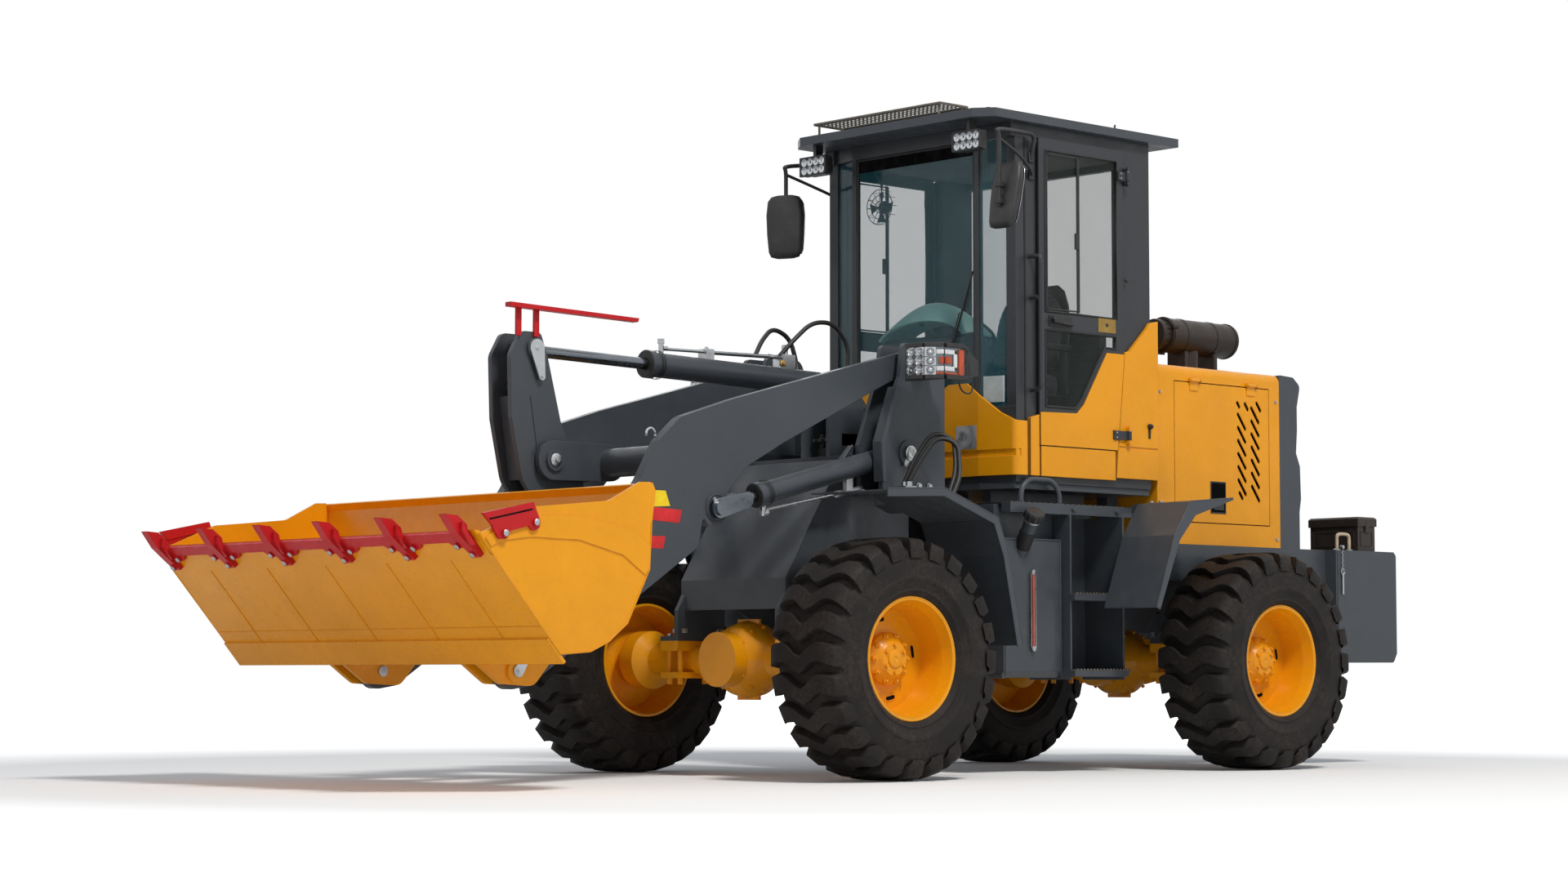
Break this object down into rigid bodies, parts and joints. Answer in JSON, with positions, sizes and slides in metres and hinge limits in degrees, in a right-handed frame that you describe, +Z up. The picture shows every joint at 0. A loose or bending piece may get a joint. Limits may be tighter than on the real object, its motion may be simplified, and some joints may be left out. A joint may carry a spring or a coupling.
{
  "type": "wheel loader",
  "caption": "Articulated wheel loader with a lever-linked bucket, glazed cab, louvred engine hood and block-lug tyres.",
  "frame": {"origin": "centre of the overall length and width, on the ground", "axes": "+X forward to the bucket, +Y to the driver's left, +Z up"},
  "size_m": [6.715, 2.356, 3.2148],
  "materials": {
    "yellow_paint": "gloss paint, worn and dusty",
    "grey_paint": "semi-gloss dark grey paint",
    "red_paint": "matte red paint",
    "brown_paint": "matte paint",
    "tyre_rubber": "matte rubber",
    "rod_chrome": "hard chrome",
    "glass": "clear tinted",
    "black_plastic": "matte",
    "hose_rubber": "smooth black rubber",
    "seat_fabric": "woven",
    "cast_grey": "as cast",
    "bright_steel": "worn"
  },
  "bodies": {
    "rear_body": {"air_cleaner": "brown_paint", "cab_floor": "grey_paint", "cab_frame": "grey_paint", "cab_glass": "glass", "cab_panels": "yellow_paint", "cab_roof": "grey_paint", "counterweight": "grey_paint", "dash_console": "black_plastic", "engine_block": "cast_grey", "hood": "yellow_paint", "mirrors": "black_plastic", "rear_axle": "yellow_paint", "rear_fenders": "grey_paint", "rear_frame": "grey_paint", "rear_grille": "grey_paint", "seat": "seat_fabric", "side_tanks": "grey_paint", "steering_wheel": "black_plastic", "steps": "grey_paint", "tail_box": "brown_paint", "work_lamps": "black_plastic"},
    "front_body": {"front_frame": "grey_paint", "front_axle": "yellow_paint", "front_fenders": "grey_paint", "headlamps": "grey_paint", "tower_hoses": "hose_rubber", "hose_fittings": "bright_steel"},
    "boom": {"boom": "grey_paint"},
    "lever": {"tilt_lever": "grey_paint", "level_indicator": "red_paint"},
    "link": {"bucket_link": "grey_paint"},
    "bucket": {"bucket": "yellow_paint", "bucket_teeth": "red_paint"},
    "tilt_barrel": {"tilt_barrel": "grey_paint", "tilt_pipes": "bright_steel", "tilt_hoses": "hose_rubber"},
    "tilt_rod": {"tilt_rod": "rod_chrome"},
    "lift_barrels": {"lift_barrels": "grey_paint", "lift_pipes": "bright_steel"},
    "lift_rods": {"lift_rods": "rod_chrome"},
    "steer_barrel_left": {"steering_barrel_left": "grey_paint"},
    "steer_barrel_right": {"steering_barrel_right": "grey_paint"},
    "steer_rod_left": {"steering_rod_left": "rod_chrome"},
    "steer_rod_right": {"steering_rod_right": "rod_chrome"},
    "door_left": {"cab_door_left": "grey_paint", "cab_door_glass_left": "glass", "cab_door_skirt_left": "yellow_paint"},
    "door_right": {"cab_door_right": "grey_paint", "cab_door_glass_right": "glass", "cab_door_skirt_right": "yellow_paint"},
    "lid_left": {"hood_door_left": "yellow_paint"},
    "lid_right": {"hood_door_right": "yellow_paint"},
    "wheel_front_left": {"tyre_front_left": "tyre_rubber", "rim_front_left": "yellow_paint"},
    "wheel_front_right": {"tyre_front_right": "tyre_rubber", "rim_front_right": "yellow_paint"},
    "wheel_rear_left": {"tyre_rear_left": "tyre_rubber", "rim_rear_left": "yellow_paint"},
    "wheel_rear_right": {"tyre_rear_right": "tyre_rubber", "rim_rear_right": "yellow_paint"}
  },
  "joints": [
    {"name": "articulation", "type": "hinge", "parent": "rear_body", "child": "front_body", "pos_m": [-0.58749, 0, 0.8], "axis": [0, 0, 1], "range_deg": [-35, 35]},
    {"name": "lift", "type": "hinge", "parent": "front_body", "child": "boom", "pos_m": [0.13251, 0, 1.93], "axis": [0, -1, 0], "range_deg": [-7, 63]},
    {"name": "tilt", "type": "hinge", "parent": "boom", "child": "lever", "pos_m": [2.00951, 0, 1.419], "axis": [0, -1, 0], "range_deg": [0, 50]},
    {"name": "bucket_pivot", "type": "hinge", "parent": "boom", "child": "bucket", "pos_m": [2.54851, 0, 0.489], "axis": [0, -1, 0], "range_deg": [-90, 0]},
    {"name": "link_pivot", "type": "hinge", "parent": "lever", "child": "link", "pos_m": [1.68251, 0, 0.93], "axis": [0, -1, 0], "range_deg": [-34, 0]},
    {"name": "tilt_barrel_pivot", "type": "hinge", "parent": "front_body", "child": "tilt_barrel", "pos_m": [0.23251, 0, 1.87], "axis": [0, -1, 0], "range_deg": [-7.3, 65.1]},
    {"name": "tilt_stroke", "type": "slide", "parent": "tilt_barrel", "child": "tilt_rod", "axis": [0.9997, 0, 0.0225], "range_m": [-0.367, 0.001]},
    {"name": "lift_barrel_pivot", "type": "hinge", "parent": "front_body", "child": "lift_barrels", "pos_m": [0.23251, 0, 1.51], "axis": [0, -1, 0], "range_deg": [-7.2, 64.3]},
    {"name": "lift_stroke", "type": "slide", "parent": "lift_barrels", "child": "lift_rods", "axis": [0.9689, 0, -0.2473], "range_m": [-0.051, 0.457]},
    {"name": "steer_pivot_left", "type": "hinge", "parent": "rear_body", "child": "steer_barrel_left", "pos_m": [-1.11749, 0.22, 0.8], "axis": [0, 0, 1], "range_deg": [-11.4, 11.4]},
    {"name": "steer_stroke_left", "type": "slide", "parent": "steer_barrel_left", "child": "steer_rod_left", "axis": [0.9944, 0.1061, 0], "range_m": [-0.166, 0.166]},
    {"name": "steer_pivot_right", "type": "hinge", "parent": "rear_body", "child": "steer_barrel_right", "pos_m": [-1.11749, -0.22, 0.8], "axis": [0, 0, 1], "range_deg": [-11.4, 11.4]},
    {"name": "steer_stroke_right", "type": "slide", "parent": "steer_barrel_right", "child": "steer_rod_right", "axis": [0.9944, -0.1061, 0], "range_m": [-0.166, 0.166]},
    {"name": "door_hinge_left", "type": "hinge", "parent": "rear_body", "child": "door_left", "pos_m": [-1.21349, 0.68, 2.3], "axis": [0, 0, -1], "range_deg": [-170, 0]},
    {"name": "door_hinge_right", "type": "hinge", "parent": "rear_body", "child": "door_right", "pos_m": [-1.21349, -0.68, 2.3], "axis": [0, 0, 1], "range_deg": [-170, 0]},
    {"name": "lid_hinge_left", "type": "hinge", "parent": "rear_body", "child": "lid_left", "pos_m": [-1.96749, 0.661, 1.972], "axis": [1, 0, 0], "range_deg": [0, 80]},
    {"name": "lid_hinge_right", "type": "hinge", "parent": "rear_body", "child": "lid_right", "pos_m": [-1.96749, -0.661, 1.972], "axis": [-1, 0, 0], "range_deg": [0, 80]},
    {"name": "spin_front_left", "type": "hinge", "parent": "front_body", "child": "wheel_front_left", "pos_m": [0.73251, 0.9, 0.545], "axis": [0, 1, 0], "continuous": true},
    {"name": "spin_front_right", "type": "hinge", "parent": "front_body", "child": "wheel_front_right", "pos_m": [0.73251, -0.9, 0.545], "axis": [0, 1, 0], "continuous": true},
    {"name": "spin_rear_left", "type": "hinge", "parent": "rear_body", "child": "wheel_rear_left", "pos_m": [-1.90749, 0.9, 0.545], "axis": [0, 1, 0], "continuous": true},
    {"name": "spin_rear_right", "type": "hinge", "parent": "rear_body", "child": "wheel_rear_right", "pos_m": [-1.90749, -0.9, 0.545], "axis": [0, 1, 0], "continuous": true}
  ],
  "couplings": [
    {"joint": "bucket_pivot", "follows": "tilt", "ratio": -1.8},
    {"joint": "link_pivot", "follows": "tilt", "ratio": -0.667},
    {"joint": "tilt_stroke", "follows": "tilt", "m_per_rad": -0.42},
    {"joint": "tilt_barrel_pivot", "follows": "lift", "ratio": 1.0322},
    {"joint": "lift_barrel_pivot", "follows": "lift", "ratio": 1.0196},
    {"joint": "lift_stroke", "follows": "lift", "m_per_rad": 0.4154},
    {"joint": "steer_pivot_left", "follows": "articulation", "ratio": 0.3233},
    {"joint": "steer_pivot_right", "follows": "articulation", "ratio": 0.3233},
    {"joint": "steer_stroke_left", "follows": "articulation", "m_per_rad": -0.2712},
    {"joint": "steer_stroke_right", "follows": "articulation", "m_per_rad": 0.2712}
  ]
}
